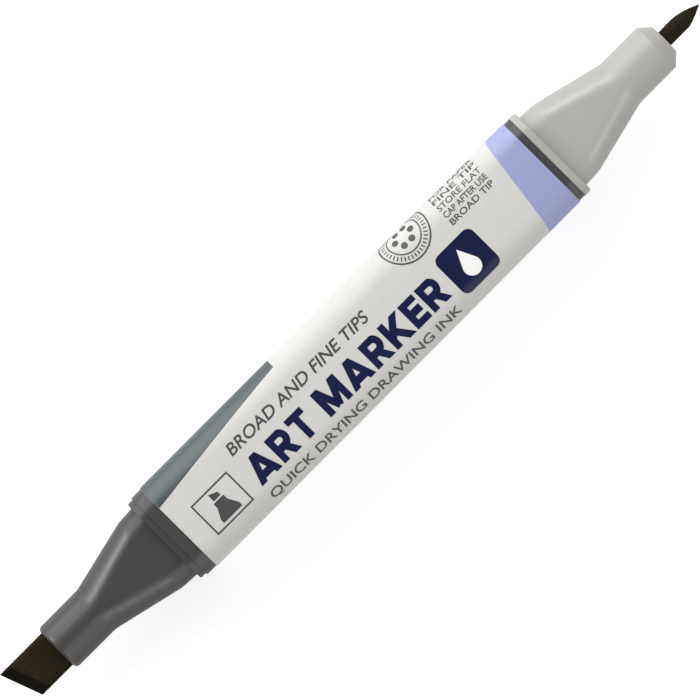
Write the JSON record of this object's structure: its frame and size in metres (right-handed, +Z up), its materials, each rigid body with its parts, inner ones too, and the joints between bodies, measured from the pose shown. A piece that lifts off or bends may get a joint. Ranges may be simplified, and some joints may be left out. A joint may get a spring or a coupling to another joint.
{
  "type": "twin-tip felt marker",
  "caption": "Twin-tip alcohol marker with both caps off: square barrel with a printed label, broad chisel nib at one end and fine bullet nib at the other.",
  "frame": {"origin": "middle of the length, under the barrel, on the face that the marker lies on", "axes": "+X along the marker towards the fine nib, +Z up out of the printed face, +Y towards the side where the chisel nib's acute corner is"},
  "size_m": [0.1322, 0.015, 0.0149],
  "materials": {
    "barrel_plastic": "satin moulded polypropylene, dark grey",
    "label_film": "satin printed film, white",
    "dark_grey_plastic": "satin moulded polypropylene, dark grey",
    "light_grey_plastic": "satin moulded polypropylene, light grey",
    "natural_plastic": "natural polyolefin",
    "reservoir_fibre": "bundled polyester fibre soaked with ink",
    "clear_film": "clear film",
    "chisel_felt": "needled felt soaked with dark ink",
    "fine_felt": "bonded fibre soaked with dark ink"
  },
  "bodies": {
    "marker_body": {"barrel": "barrel_plastic", "barrel_label": "label_film", "chisel_front_section": "dark_grey_plastic", "fine_front_section": "light_grey_plastic", "chisel_nib_holder": "natural_plastic", "fine_nib_holder": "natural_plastic", "ink_reservoir": "reservoir_fibre", "reservoir_sleeve": "clear_film"},
    "chisel_nib": {"chisel_nib": "chisel_felt"},
    "fine_nib": {"fine_nib": "fine_felt"}
  },
  "joints": [
    {"name": "chisel_nib_pull", "type": "slide", "parent": "marker_body", "child": "chisel_nib", "axis": [-1, 0, 0], "range_m": [0, 0.03]},
    {"name": "fine_nib_pull", "type": "slide", "parent": "marker_body", "child": "fine_nib", "axis": [1, 0, 0], "range_m": [0, 0.031]}
  ]
}
